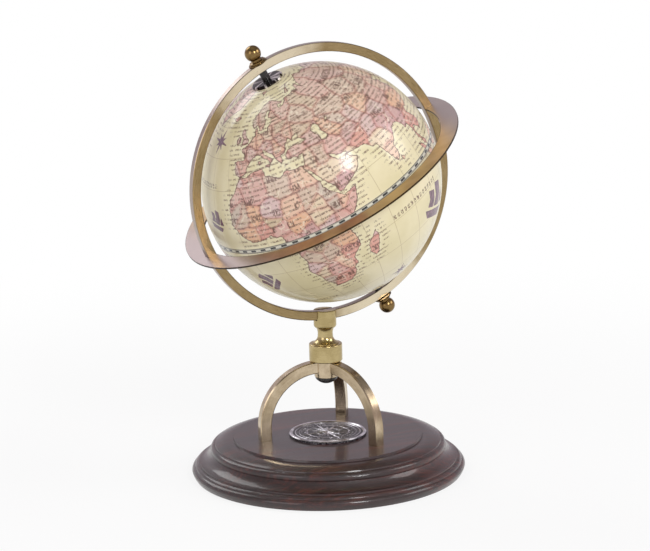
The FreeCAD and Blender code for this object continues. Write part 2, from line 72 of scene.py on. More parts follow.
class Flow:
    """One socket in a finish's node tree, so that shader maths reads as plain expressions."""

    def __init__(self, finish, socket):
        self.finish = finish
        self.socket = socket

    def maths(self, operation, *others):
        return self.finish.node("ShaderNodeMath", {"operation": operation}, dict(enumerate((self,) + others)))

    def __add__(self, other):
        return self.maths("ADD", other)

    __radd__ = __add__

    def __mul__(self, other):
        return self.maths("MULTIPLY", other)

    __rmul__ = __mul__

    def __sub__(self, other):
        return self.maths("SUBTRACT", other)

    def __rsub__(self, other):
        return self * -1.0 + other

    def __truediv__(self, other):
        return self.maths("DIVIDE", other)

    def __gt__(self, other):
        return self.maths("GREATER_THAN", other)

    def __lt__(self, other):
        return self.maths("LESS_THAN", other)

    def floor(self):
        return self.maths("FLOOR")

    def fraction(self):
        return self.maths("FRACT")

    def absolute(self):
        return self.maths("ABSOLUTE")

    def at_least(self, other):
        return self.maths("MAXIMUM", other)

    def ease(self, low, high):
        """0 below low, 1 above high and a smooth step between; high may be the lower one."""
        settings = {"interpolation_type": "SMOOTHSTEP"}
        return self.finish.node("ShaderNodeMapRange", settings, {0: self, 1: low, 2: high})


class Finish:
    """A material: its node tree, its main shader and the calls that build on it."""

    def __init__(self, name, **constants):
        self.material = bpy.data.materials.new(name)
        self.material.use_nodes = True
        self.tree = self.material.node_tree
        self.shader = self.tree.nodes["Principled BSDF"]
        for socket, value in constants.items():
            self.shader.inputs[socket.replace("_", " ")].default_value = value

    def node(self, kind, settings=None, values=None, output=0):
        """Add a node: its settings first, then the values or links of its sockets."""
        made = self.tree.nodes.new(kind)
        for key, value in (settings or {}).items():
            if key == "stops":
                set_stops(made.color_ramp, value)
            else:
                setattr(made, key, value)
        for socket, value in (values or {}).items():
            if isinstance(value, Flow):
                self.tree.links.new(value.socket, made.inputs[socket])
            else:
                made.inputs[socket].default_value = value
        return Flow(self, made.outputs[output])

    def feed(self, **links):
        """Link flows to the main shader's sockets."""
        for socket, flow in links.items():
            self.tree.links.new(flow.socket, self.shader.inputs[socket.replace("_", " ")])

    def place(self):
        """Position on the object, in metres."""
        return self.node("ShaderNodeTexCoord", output="Object")

    def split(self, vector):
        xyz = self.tree.nodes.new("ShaderNodeSeparateXYZ")
        self.tree.links.new(vector.socket, xyz.inputs[0])
        return [Flow(self, socket) for socket in xyz.outputs]

    def join(self, x, y, z):
        return self.node("ShaderNodeCombineXYZ", values={0: x, 1: y, 2: z})

    def scaled(self, vector, x, y, z):
        settings = {"operation": "MULTIPLY"}
        return self.node("ShaderNodeVectorMath", settings, {0: vector, 1: (x, y, z)})

    def shifted(self, vector, x, y, z):
        settings = {"operation": "ADD"}
        return self.node("ShaderNodeVectorMath", settings, {0: vector, 1: (x, y, z)})

    def noise(self, vector, scale, detail=2.0, roughness=0.5):
        values = {"Vector": vector, "Scale": scale, "Detail": detail, "Roughness": roughness}
        return self.node("ShaderNodeTexNoise", values=values)

    def mix(self, factor, first, second):
        """Colour blend: first where the factor is 0, second where it is 1."""
        first = (*first, 1.0) if isinstance(first, tuple) else first
        second = (*second, 1.0) if isinstance(second, tuple) else second
        return self.node("ShaderNodeMix", {"data_type": "RGBA"}, {0: factor, 6: first, 7: second}, 2)

    def ramp(self, factor, stops):
        return self.node("ShaderNodeValToRGB", {"stops": stops}, {0: factor})

    def bump(self, height, strength, distance):
        values = {"Height": height, "Strength": strength, "Distance": distance}
        self.feed(Normal=self.node("ShaderNodeBump", values=values))


def tone(red, green, blue):
    """Scene-linear colour from the 0 to 255 values of a paint chart."""
    parts = (red, green, blue)
    return tuple(((part / 255 + 0.055) / 1.055) ** 2.4 if part > 10 else part / 3295 for part in parts)


# ---------------------------------------------------------------- metal finishes
def brass(name, shade, light, lines, roughness=0.30, grain=0.10):
    """Antique brass: fine brushing along the given direction, cloudy patina and dark specks."""
    finish = Finish(name, Metallic=1.0)
    place = finish.place()
    brushing = finish.noise(lines(finish, place), 1.0, 3.0, 0.6)
    cloud = finish.noise(place, 95.0, 4.0, 0.6)
    specks = finish.noise(place, 900.0, 2.0, 0.6)
    patina = cloud.ease(0.25, 0.85)
    base = finish.mix(patina, shade, light)
    streaked = finish.mix(brushing.ease(0.40, 0.75) * 0.35, base, tuple(1.12 * part for part in light))
    worn = finish.mix(specks.ease(0.66, 0.78) * 0.25, streaked, tuple(0.35 * part for part in shade))
    finish.feed(Base_Color=worn)
    finish.feed(Roughness=brushing * grain + cloud * 0.10 + (roughness - grain / 2 - 0.05))
    finish.bump(brushing + specks * 0.3, 0.10, 0.0001)
    return finish.material


def lines_round_ring(finish, place):
    """Stretch a pattern along the meridian bar, round the globe's centre."""
    x, y, z = finish.split(finish.shifted(place, *(-GLOBE_CENTRE)))
    radius = (x * x + z * z).maths("SQRT")
    angle = x.maths("ARCTAN2", z)
    return finish.join(radius * 5200.0, y * 5200.0, angle * 16.0)


def lines_round_stem(finish, place):
    """Stretch a pattern round the turned stem."""
    x, y, z = finish.split(place)
    return finish.join(x * 60.0, y * 60.0, z * 5200.0)


def lines_up_legs(finish, place):
    """Stretch a pattern along the arched legs, round the ring they would make."""
    x, y, z = finish.split(place)
    radius = (x * x + y * y).maths("SQRT") - 5.0 * MM
    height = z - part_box("leg_left")[0][2] - 8.1 * MM
    arc = (radius * radius + height * height).maths("SQRT")
    return finish.join(arc * 4200.0, height * 90.0, x * 120.0 + y * 90.0)


def lines_round_plate(finish, place):
    """Fine turning lines round the flat horizon ring."""
    local = finish.shifted(place, *(-GLOBE_CENTRE))
    distance = finish.node("ShaderNodeVectorMath", {"operation": "LENGTH"}, {0: local}, "Value")
    return finish.join(distance * 2600.0, 0.0, 0.0)


def meridian_brass():
    """Brushed olive brass: rims painted lavender-grey as a painted reflection, and a painted pale highlight
    on the front face towards the two finials.
    """
    finish = Finish("ring_brass", Metallic=1.0)
    place = finish.place()
    x, y, z = finish.split(finish.shifted(place, *(-GLOBE_CENTRE)))
    radius = (x * x + z * z).maths("SQRT")
    brushing = finish.noise(lines_round_ring(finish, place), 1.0, 3.0, 0.6)
    cloud = finish.noise(place, 70.0, 3.0)
    along = ((x * POLE.x + z * POLE.z) / radius).absolute()
    # Painted highlight: the front face turns pale cream towards the two finials, where the brushed ring would
    # catch the light.
    rubbed_and_highlight = (along + (cloud - 0.5) * 0.12).ease(0.86, 0.99) * (y < -RING_FRONT_FACE)
    plate = finish.mix(brushing.ease(0.3, 0.75), tone(130, 110, 74), tone(166, 144, 104))
    plate = finish.mix(cloud.ease(0.3, 0.8) * 0.3, plate, tone(186, 164, 124))
    plate = finish.mix(rubbed_and_highlight * 0.75, plate, tone(238, 226, 198))
    # Painted reflection: the outer and inner rim faces are painted lavender-grey for the pale surround they
    # mirror.
    rim = (radius > RING_OUTER_RIM) + (radius < RING_INNER_RIM)
    finish.feed(Base_Color=finish.mix(rim * 0.75, plate, tone(168, 156, 154)))
    finish.feed(Roughness=brushing * 0.14 + 0.22)
    finish.bump(brushing, 0.10, 0.0001)
    return finish.material


def horizon_brass():
    """Polished tan ring: painted near-black shade on the inner and outer edge faces, and a painted
    lavender-grey reflection towards both ends.
    """
    finish = Finish("horizon_brass", Metallic=1.0)
    place = finish.place()
    local = finish.shifted(place, *(-GLOBE_CENTRE))
    radius = finish.node("ShaderNodeVectorMath", {"operation": "LENGTH"}, {0: local}, "Value")
    turned = finish.noise(lines_round_plate(finish, place), 1.0, 2.0)
    cloud = finish.noise(place, 60.0, 3.0)
    side = finish.split(local)[0].absolute()
    # Painted reflection: the plate turns lavender-grey towards both ends, as if mirroring the pale surround.
    painted_reflection_ends = side.ease(46 * MM, 70 * MM)
    plate = finish.mix(cloud.ease(0.3, 0.75), tone(164, 136, 94), tone(194, 166, 124))
    plate = finish.mix(painted_reflection_ends * 0.9, plate, tone(162, 150, 152))
    # Painted shade: the inner and outer edge faces are painted near-black for the shadowed gap and walls
    # there.
    painted_shade_edge = (radius < HORIZON_INNER_EDGE) + (radius > HORIZON_OUTER_EDGE)
    finish.feed(Base_Color=finish.mix(painted_shade_edge * 0.9, plate, tone(34, 26, 20)))
    finish.feed(Roughness=turned * 0.10 + painted_shade_edge * 0.1 + 0.30)
    finish.bump(turned, 0.06, 0.0001)
    return finish.material


def lines_round_finial(finish, place):
    return finish.scaled(place, 400.0, 400.0, 400.0)


def bright_steel():
    finish = Finish("bright_steel", Metallic=1.0)
    place = finish.place()
    scratches = finish.noise(finish.scaled(place, 900.0, 900.0, 5000.0), 1.0, 3.0)
    cloud = finish.noise(place, 300.0, 2.0)
    finish.feed(Base_Color=finish.mix(cloud.ease(0.3, 0.7), (0.42, 0.41, 0.40), (0.62, 0.61, 0.60)))
    finish.feed(Roughness=scratches * 0.2 + 0.18)
    finish.bump(scratches, 0.08, 0.0001)
    return finish.material


def dark_plate():
    """Black-nickel pole cap: mirror dark with fine turning lines and painted bright glints in radial streaks.
    """
    finish = Finish("dark_plate", Metallic=1.0)
    place = finish.place()
    rings = finish.noise(lines_round_plate(finish, place), 1.0, 2.0)
    wear = finish.noise(place, 420.0, 3.0)
    local = finish.split(finish.shifted(place, *(-GLOBE_CENTRE)))
    across = local[0] * POLE.z - local[2] * POLE.x
    sector = local[1].maths("ARCTAN2", across)
    # Painted reflection: bright radial glints painted onto the dark cap.
    painted_glints = finish.noise(finish.join(sector * 2.2, wear * 0.6, 0.0), 1.0, 2.0, 0.7).ease(0.52, 0.60)
    dark = finish.mix(wear.ease(0.55, 0.75), tone(40, 34, 34), tone(96, 86, 82))
    finish.feed(Base_Color=finish.mix(painted_glints, dark, tone(214, 206, 204)))
    finish.feed(Roughness=rings * 0.12 + 0.10)
    finish.bump(rings, 0.08, 0.0001)
    return finish.material


def black_gloss():
    finish = Finish("black_gloss", Coat_Weight=0.15, Coat_Roughness=0.2)
    place = finish.place()
    peel = finish.noise(place, 700.0, 2.0)
    finish.feed(Base_Color=finish.mix(peel.ease(0.3, 0.8), tone(16, 13, 12), tone(34, 28, 24)))
    finish.feed(Roughness=peel * 0.2 + 0.2)
    finish.bump(peel, 0.05, 0.0002)
    return finish.material


def antique_silver(low, high):
    """Cast silver finish: black in the low parts, rubbed bright on the raised ones."""
    finish = Finish("antique_silver", Metallic=1.0)
    place = finish.place()
    height = finish.split(place)[2]
    raised = height.ease(low, high)
    cast = finish.noise(place, 1500.0, 3.0, 0.7)
    cloud = finish.noise(place, 190.0, 3.0)
    rubbed_and_highlight = finish.mix(cloud.ease(0.35, 0.7), tone(168, 164, 170), tone(232, 230, 234))
    dark = finish.mix(cast.ease(0.45, 0.62), tone(20, 18, 20), tone(150, 146, 152))
    finish.feed(Base_Color=finish.mix(raised, dark, rubbed_and_highlight))
    finish.feed(Roughness=cast * 0.22 + (1 - raised) * 0.22 + 0.12)
    finish.bump(cast, 0.5, 0.00012)
    return finish.material


# ---------------------------------------------------------------- wood, felt and plastic
def lacquered_walnut():
    """Very dark stained wood: long grain along X, pores, red undertone and a gloss lacquer."""
    finish = Finish("lacquered_walnut", Coat_Weight=0.60, Coat_Roughness=0.11, Coat_IOR=1.45)
    place = finish.place()
    waves = finish.noise(finish.scaled(place, 5.0, 26.0, 26.0), 1.0, 3.0)
    x, y, z = finish.split(place)
    grain_line = finish.join(x * 14.0, y * 420.0 + waves * 6.0, z * 420.0)
    grain = finish.noise(grain_line, 1.0, 5.0, 0.65)
    pores = finish.noise(finish.join(x * 130.0, y * 2600.0, z * 2600.0), 1.0, 2.0)
    figure = finish.noise(finish.scaled(place, 12.0, 60.0, 60.0), 1.0, 4.0)
    stops = ((0.30, tone(12, 4, 4)), (0.5, tone(40, 15, 13)), (0.70, tone(92, 42, 33)))
    stained = finish.ramp(grain * 0.6 + figure * 0.4, stops)
    porous = pores.ease(0.60, 0.72)
    finish.feed(Base_Color=finish.mix(porous * 0.7, stained, tone(14, 8, 7)))
    finish.feed(Roughness=grain * 0.18 + 0.38)
    speckle = finish.noise(place, 1700.0, 2.0, 0.6)
    finish.bump(grain * 0.5 - porous * 0.8 + speckle * 0.8, 0.55, 0.0002)
    return finish.material


def felt():
    finish = Finish("green_felt", Roughness=1.0, Sheen_Weight=0.5)
    place = finish.place()
    fibres = finish.noise(place, 2600.0, 4.0, 0.7)
    finish.feed(Base_Color=finish.mix(fibres.ease(0.3, 0.7), tone(18, 34, 26), tone(44, 66, 52)))
    finish.bump(fibres, 0.8, 0.0004)
    return finish.material


def moulded_plastic():
    finish = Finish("moulded_plastic", Roughness=0.5)
    place = finish.place()
    grain = finish.noise(place, 1800.0, 2.0)
    finish.feed(Base_Color=finish.mix(grain.ease(0.3, 0.7), tone(205, 198, 180), tone(222, 216, 200)))
    finish.bump(grain, 0.15, 0.0001)
    return finish.material


# ---------------------------------------------------------------- the map's geography
# Coastlines as (longitude, latitude) in degrees, only the points that each coast needs.
LANDS = {
    "africa": (
        (-6, 35.8), (-2, 35), (3, 36.8), (10, 37.3), (11, 33.5), (15, 32.3), (19, 30.3), (23, 32.6), (29, 31),
        (32.4, 31.2), (32.6, 29.8), (35.5, 24), (37.2, 21), (37.3, 18.8), (39.5, 15.5), (43.2, 12),
        (44.5, 10.5), (51.2, 11.8), (49, 6.5), (45.5, 2), (41.5, -1.8), (39.2, -4.7), (39.5, -7),
        (40.6, -11), (40.5, -15), (36.8, -18), (34.8, -20.2), (35.4, -23.8), (32.8, -26), (32.5, -28.5),
        (30.8, -30.8), (27.5, -33.4), (22, -34.1), (18.4, -34.2), (18.2, -31.8), (15.7, -28),
        (14.5, -22.7), (11.8, -18), (13.6, -12.3), (12.3, -6), (9, -1), (9.6, 2.5), (8.6, 4.6), (6, 4.3),
        (4, 6.3), (-2, 4.8), (-7.6, 4.4), (-12.8, 7.8), (-15, 11), (-17.3, 14.7), (-16.2, 18.5),
        (-17, 21), (-14.8, 25.8), (-11.5, 28.3), (-9.7, 30.5), (-8, 33.2)),
    "eurasia": (
        (-5.5, 36), (-8.9, 37), (-9.4, 39), (-8.9, 43.2), (-2, 43.4), (-1.3, 46), (-4.6, 48.3),
        (1.5, 50.3), (4.5, 52.2), (8.5, 54), (8.2, 57), (10.5, 57.6), (10.8, 54.4), (14.2, 53.9),
        (19, 54.5), (21, 56.8), (24, 57.8), (23.5, 59.3), (30, 59.9), (25, 60.3), (21.5, 61),
        (22.5, 63.5), (25.3, 65), (22, 65.8), (17.5, 62.2), (18.8, 60), (16.5, 57), (14.3, 55.5),
        (12.8, 55.6), (11, 59), (7, 58), (5.2, 60.5), (5.2, 62), (12, 66), (16, 68.8), (25.5, 71),
        (31, 70), (41, 67), (40, 66.2), (34, 66.7), (34.5, 64.4), (40, 64.6), (44, 66.2), (46, 68.2),
        (54, 68.3), (60, 69), (67, 68.8), (68.5, 71.5), (72.8, 72.8), (74, 68), (78, 72.3), (87, 75),
        (98, 76.2), (104.5, 77.6), (113, 74), (127, 73), (131, 71), (141, 72.6), (152, 71),
        (161, 69.6), (171, 70), (180, 68.8), (190, 66), (187, 64.5), (177.5, 62.4), (170, 60),
        (163.5, 59.8), (162.5, 56), (156.8, 51), (155.8, 56.8), (163.7, 61.5), (156, 61.6),
        (152, 59), (142.5, 59.2), (135.5, 54.7), (141, 53), (140.3, 48.5), (135, 43.6), (130.6, 42.3),
        (127.6, 39.6), (129.3, 36), (126.6, 34.4), (126.4, 37.6), (124.5, 39.9), (121.3, 39),
        (121.5, 40.8), (117.8, 39), (119, 37.2), (122.4, 37.2), (119.4, 34.8), (121.9, 31.2),
        (121.4, 28), (118, 24.4), (114, 22.4), (110.2, 20.4), (108.2, 21.6), (105.7, 19),
        (108.9, 15), (109.2, 11.8), (105, 8.7), (104.8, 10.5), (102.3, 12.2), (100.9, 13.3),
        (99.3, 10), (100.6, 7), (103.5, 3.8), (103.5, 1.4), (101, 3), (100.2, 6.2), (98.3, 8.2),
        (98.7, 12), (97.5, 16.8), (94.4, 16), (94, 19), (92, 21.3), (90, 22), (87, 21.4),
        (85, 19.5), (82.2, 16.7), (80.2, 15.4), (80, 12), (79.3, 10.3), (77.6, 8.1), (76.2, 10),
        (74.5, 14), (72.9, 19), (72.6, 21.5), (70, 20.9), (69, 22.4), (67, 24.8), (61.7, 25.1),
        (57.2, 25.8), (56.5, 27.1), (51.5, 27.9), (48.8, 30.3), (48, 29.6), (50.2, 26.6),
        (51.6, 25.3), (54, 24.2), (56.3, 26.1), (56.6, 24.4), (59.8, 22.4), (57.8, 18.9), (55, 17),
        (52, 15.6), (45, 12.8), (43.4, 12.7), (42.7, 16.5), (39.1, 21.3), (35, 28.1), (32.7, 29.9),
        (32.5, 31.1), (34.3, 31.4), (36, 35.8), (36.2, 36.8), (32.5, 36), (30.6, 36.9),
        (27.3, 36.8), (26.2, 39.2), (29, 41.1), (33.5, 42), (38.3, 41), (41.6, 41.8),
        (37.4, 44.7), (39.3, 47.2), (35, 46.2), (33.4, 44.6), (31.8, 46.6), (28.7, 43.8),
        (28, 41.8), (26.2, 40.6), (23.4, 40.3), (24, 37.7), (22.5, 36.6), (20, 39.6),
        (19.4, 41.8), (15.2, 44.2), (13.6, 45.6), (12.4, 44.8), (14.2, 42.4), (18.4, 40.1),
        (16, 38), (15.6, 40), (12.3, 41.7), (10.3, 43.5), (8.8, 44.4), (4.8, 43.3), (3.1, 42.4),
        (0, 39.5), (-0.7, 37.7), (-2.2, 36.7)),
    "britain": (
        (-5.6, 50.1), (1.3, 51.2), (1.6, 52.7), (-1.5, 55), (-2, 57.5), (-4, 58.6), (-5.5, 57),
        (-4.8, 54.8), (-3, 53.6), (-4.9, 51.7), (-3, 51.4)),
    "ireland": ((-6.2, 52.2), (-6, 54.5), (-8, 55.2), (-9.9, 54), (-9.8, 51.6)),
    "iceland": ((-22.5, 64), (-24, 65.5), (-15, 66.3), (-13.7, 65), (-18.5, 63.4)),
    "greenland": (
        (-44, 60), (-51, 64), (-53.5, 67), (-52, 70), (-58, 75.5), (-68, 76.2), (-72, 78.3),
        (-60, 82), (-33, 83.5), (-18, 80.5), (-19.5, 75), (-24, 70.5), (-33, 67.6), (-40, 65)),
    "madagascar": (
        (49.3, -12.1), (50.3, -15.8), (47.2, -24.8), (45.2, -25.5), (43.4, -22), (44.4, -17), (47, -15.3)),
    "ceylon": ((80, 9.6), (81.8, 7.5), (80.6, 6), (79.8, 8)),
    "sicily": ((12.5, 38), (15.5, 38.2), (15.1, 36.7)),
    "sardinia": ((8.3, 40.8), (9.7, 41), (9.5, 39.2), (8.5, 39)),
    "crete": ((23.6, 35.5), (26.2, 35.3), (24, 35)),
    "cyprus": ((32.4, 35.1), (34.4, 35.6), (33.5, 34.7)),
    "svalbard": ((11, 79.5), (16, 76.8), (25, 80)),
    "novaya": ((52, 71), (57, 70.6), (60, 75), (68.5, 76.8), (56, 73.5)),
    "sumatra": (
        (95.3, 5.6), (98.5, 3.6), (103.6, -1), (106, -3.2), (105.8, -5.8), (102, -4), (98.5, 0.5)),
    "java": ((105.3, -6.6), (108.5, -6.6), (114.4, -7.8), (114.3, -8.7), (106.5, -7.4)),
    "borneo": (
        (109, 1.5), (113, 3.2), (117, 7), (119, 5.2), (117.6, 1), (116, -3.5), (114.5, -4), (110.2, -2.8)),
    "celebes": (
        (119.5, -5.4), (119, -3), (120, 0.8), (125, 1.6), (120.6, 0.3), (123, -1), (121, -1.9),
        (122.6, -5.2), (120.8, -3)),
    "new_guinea": (
        (131, -0.8), (134.2, -1), (135.3, -3.3), (138, -1.7), (145.8, -5), (150.6, -10.5),
        (147, -9.5), (143.5, -8.6), (138, -8), (137.8, -5.2), (133, -4)),
    "luzon": ((120.3, 16), (120.8, 18.4), (122.2, 18.4), (121.6, 15), (124, 13), (121, 13.8)),
    "mindanao": ((122, 7), (123.6, 8.6), (125.5, 9.7), (126.4, 7), (125.4, 5.7)),
    "honshu": (
        (131, 34), (132.8, 35.4), (136.8, 37.2), (139.9, 39.8), (141.4, 41.4), (141.8, 39),
        (140.8, 35.8), (137, 34.6), (135.5, 33.5)),
    "hokkaido": ((140.2, 42), (141.8, 45.4), (145.2, 43.6), (143.2, 42.1)),
    "kyushu": ((130, 33.5), (131.8, 33.2), (130.7, 31.2)),
    "sakhalin": ((142, 46), (142.6, 54.2), (144.5, 49)),
    "australia": (
        (113.7, -22.5), (114.2, -26.3), (115.7, -31.8), (115.2, -34.2), (118.2, -35),
        (123.5, -33.9), (129, -31.6), (132, -32), (135.7, -34.8), (138, -33.2), (138.4, -35.6),
        (141, -38.2), (146.3, -39), (150, -37.4), (153.2, -31.5), (153.2, -25.5), (149.3, -21.5),
        (146, -18.5), (145.3, -15), (142.6, -10.8), (141.6, -14), (140.4, -17.6), (136, -15.4),
        (136.7, -12.2), (131, -12.2), (129.5, -14.9), (126, -14), (122.3, -18), (118, -20.4)),
    "tasmania": ((144.8, -40.8), (148.3, -41), (147, -43.5), (145.4, -42.6)),
    "north_island": (
        (173, -34.6), (175.5, -37), (178.4, -37.8), (176.8, -40), (175, -41.4), (173.8, -39.2),
        (174.8, -37.6)),
    "south_island": (
        (172.8, -40.6), (174.2, -41.8), (170.8, -45.9), (168.4, -46.6), (166.6, -45.8), (171.3, -42.4)),
    "north_america": (
        (-168, 65.6), (-165.5, 61.5), (-162, 58.8), (-157.5, 58.6), (-164, 54.7), (-153, 57.8),
        (-146, 60.8), (-139.5, 59.7), (-133.5, 56), (-127.5, 50.8), (-124.3, 48.3), (-124, 43),
        (-122.3, 37), (-117.2, 32.8), (-112.3, 26.2), (-109.7, 23), (-114.6, 31.6),
        (-109.5, 25.8), (-105.5, 20.5), (-101.5, 17.7), (-95, 16.1), (-91.5, 14), (-87.5, 13),
        (-85.7, 10.3), (-82.8, 8.2), (-80, 7.4), (-77.8, 8), (-79.6, 9.5), (-83.4, 10.4),
        (-83.3, 15), (-88.5, 15.9), (-87, 21.4), (-90.5, 21), (-91.5, 18.6), (-95.8, 18.8),
        (-97.7, 22.5), (-97.3, 27.5), (-94.5, 29.6), (-89.4, 29.2), (-84.5, 29.9), (-82.6, 27.5),
        (-81, 25.2), (-80.1, 26.8), (-81.3, 31), (-75.6, 35.3), (-74, 40.5), (-70, 41.8),
        (-70.5, 43.3), (-61, 45.6), (-65, 48.8), (-69.5, 48), (-65.5, 50.2), (-58.6, 51.3),
        (-56, 53.2), (-61.5, 57), (-64.6, 60.3), (-69.5, 58.8), (-78, 62.5), (-77, 57.5),
        (-79.5, 54.8), (-79.6, 51.4), (-82.3, 53), (-82.5, 55.2), (-88, 56.8), (-92.6, 57.2),
        (-94.6, 60.5), (-90.5, 63.8), (-87, 66.4), (-82, 69.6), (-90, 69), (-96, 68), (-108, 68),
        (-115, 68), (-125, 70), (-135, 69), (-141, 69.7), (-156.5, 71.3), (-166, 68.4)),
    "baffin": ((-62, 66.5), (-68, 62.5), (-78, 64.8), (-73, 67.8), (-89.5, 73.5), (-80, 73.8), (-68, 70.2)),
    "ellesmere": ((-90, 76.5), (-80, 76.5), (-62, 82.4), (-75, 83.2), (-92, 81)),
    "victoria": ((-117, 69.8), (-102, 70), (-106, 73.4), (-118, 72.5)),
    "newfoundland": ((-59.3, 47.7), (-55.6, 51.5), (-52.8, 47.2)),
    "cuba": ((-84.8, 21.9), (-80.5, 23.1), (-74.2, 20.2), (-77.7, 19.9), (-82, 22.4)),
    "hispaniola": ((-74.4, 18.4), (-72.8, 19.9), (-68.4, 18.6), (-71.5, 17.7)),
    "south_america": (
        (-77.5, 8.5), (-75.5, 10.6), (-71.6, 12.3), (-67.5, 10.6), (-62, 10.7), (-59.5, 8.2),
        (-52, 4.6), (-50, 1), (-48.5, -1), (-44.3, -2.6), (-39, -3), (-35.2, -5.5), (-35, -8.5),
        (-38.6, -13), (-39.2, -18), (-41, -22), (-44.7, -23.2), (-48.5, -25.8), (-48.8, -28.5),
        (-52.2, -32.3), (-55, -34.9), (-58.3, -34), (-56.8, -36.5), (-62, -38.9), (-65, -41),
        (-65.4, -45), (-65.9, -47.8), (-69, -51), (-68.4, -52.4), (-65.3, -54.8), (-71, -54.6),
        (-74.5, -51), (-75.5, -46.8), (-73.2, -41.8), (-73.4, -37.2), (-71.5, -30), (-70.3, -20),
        (-71.4, -17.6), (-76.3, -13.7), (-81.2, -6), (-80, -3), (-80.9, -1), (-79, 1.5),
        (-77.3, 4), (-77.9, 7.2)),
    "antarctica": (
        (-180, -78), (-160, -77.5), (-140, -74.5), (-100, -73), (-75, -72.5), (-66, -65),
        (-58, -63.2), (-61, -70), (-60, -75.5), (-35, -78), (-20, -72.5), (0, -70), (30, -69),
        (50, -66.8), (80, -68), (110, -66.2), (140, -66.8), (165, -71.5), (168, -77.5),
        (180, -78), (180, -90), (-180, -90)),
}
INLAND_SEAS = {
    "caspian": (
        (47.5, 43), (47, 45), (51, 47), (53, 45), (52.5, 41.5), (53.9, 38.5), (52, 36.8),
        (49, 37.7), (49.4, 40.5)),
    "great_lakes": ((-92, 46.7), (-84.6, 46.5), (-80, 45), (-83, 42), (-86, 46), (-87.5, 41.8)),
    "victoria_lake": ((31.7, -0.6), (33, 0.3), (34, -0.5), (33, -2.4), (31.8, -2)),
    "aral": ((58.3, 44), (60.5, 46.5), (61.3, 44.8)),
    "baikal": ((103.8, 51.6), (109.5, 55.5), (107.5, 52.6)),
}

# Country tints of an antique-style political map.
TINTS = {
    "rose": tone(208, 152, 146),
    "red": tone(206, 122, 110),
    "mauve": tone(186, 132, 140),
    "tan": tone(196, 172, 148),
    "cream": tone(222, 204, 168),
    "orange": tone(224, 166, 118),
    "peach": tone(226, 184, 152),
    "lilac": tone(204, 174, 178),
    "olive": tone(190, 172, 130),
    "grey": tone(184, 172, 156),
}
# Centre of each country or province, (longitude, latitude), by its tint.
COUNTRIES = {
    "rose": (
        (2, 27.5), (-13, 24.5), (12, -0.8), (46, 5.5), (38, 0.5), (24, -22.3), (35, 39), (53, 33), (103, 36),
        (33, 62), (70, 62), (-3, 47.5), (-64, -35), (-100, 40), (122, -26), (28, 47), (9, 8.8)),
    "red": (
        (-4, 40), (25, -31), (47, -19), (12, 43), (1.2, 8.5), (69, 30.5), (140, 36), (-85, 33), (-70, -15),
        (102, 15.5), (145, -33), (-42, 72), (23, 38.8), (35, -18)),
    "mauve": (
        (2.5, 46.8), (47, 15.3), (15, 47.5), (90, 24), (96, 21.5), (22, 2), (66, 34), (129, -4), (-105, 25),
        (85, 28.2), (44.5, 41.5), (-58, -23), (110, 62), (-1.5, 53)),
    "tan": (
        (17.5, 27), (70, 48), (16, 62), (45, 56), (95, 52), (26, -12), (18.5, -12), (-8, 18.5), (-75, 4),
        (131, -23), (-110, 54), (104, 47), (29.5, 15.5), (44, 33)),
    "cream": (
        (45, 24.5), (31, 13), (78, 22), (20, 52), (-58, 6), (-125, 60), (57, 21), (31.5, 8), (37.8, 33.2),
        (160, 65), (18, -22), (138, -30)),
    "orange": (
        (-2.5, 17), (6.5, 51), (20, 6.5), (84, 40), (59, 40), (108, 28), (-50, -8), (10.5, 51), (34.5, -6.5),
        (115, 0.5), (-92, 52), (22.5, 44), (-5.5, 7.5)),
    "peach": (
        (29.5, 27), (18.7, 16), (24.5, 60.5), (31, 49), (112, 37), (125, 46), (-68, -40), (-80, 45),
        (43, 9.5), (80, 14), (-120, 47), (29.5, -19)),
    "lilac": (
        (9.3, 17.5), (33, 1.5), (-8, 39.5), (47, -12), (76, 30), (-65, 8), (88, 33), (75, 39), (144, -6),
        (150, 68), (15, -18), (-95, 17), (17, 44.5)),
    "olive": (
        (8, 11.5), (26, 52), (138, 62), (-66, -25), (121, 15), (60, 61), (-60, 55),
        (23, -6), (146, -22), (39, 48)),
    "grey": (
        (39.5, 10.5), (-11, 20.8), (8, 61), (17, -27), (128, 36), (-115, 37), (40, 14.8), (64, 41.5),
        (-150, 64), (-72, -48), (0, -85), (90, -75), (-90, -78)),
}

# Small engraved figures in the seas: (longitude, latitude), turn in degrees and height in millimetres.
SHIPS = (
    (-32, 13.0, 12, 13.5), (-14.2, -22.5, -42, 15.5), (91.0, -28, 24, 23.0),
    (-120, 10, 0, 15.0), (-150, -30, 10, 16.0))
SHIP_SAILS = (
    ((-0.50, 0.00), (0.55, 0.02), (0.40, -0.20), (-0.36, -0.20)),
    ((-0.40, 0.08), (-0.10, 0.08), (-0.05, 0.30), (-0.12, 0.52), (-0.42, 0.50), (-0.33, 0.28)),
    ((-0.06, 0.08), (0.28, 0.08), (0.34, 0.38), (0.26, 0.70), (-0.08, 0.68), (0.02, 0.36)),
    ((0.34, 0.10), (0.62, 0.16), (0.42, 0.54)),
)
ROSES = ((-31.5, 53.0, 18.0), (-140, 45, 18.0), (60, -52, 16.0))


# ---------------------------------------------------------------- map geometry
MAP_SEGMENTS = 150
MAP_RINGS = 76
MAP_CUTS = 3
PAPER_RISE = 0.05 * MM
PRIME_MERIDIAN_TURN = math.radians(145.0)
CAP_REACH = math.radians(84.0)


def on_sphere(longitude, latitude):
    """Unit vectors from degrees."""
    lon = np.radians(longitude)
    lat = np.radians(latitude)
    return np.stack([np.cos(lat) * np.cos(lon), np.cos(lat) * np.sin(lon), np.sin(lat)], axis=-1)


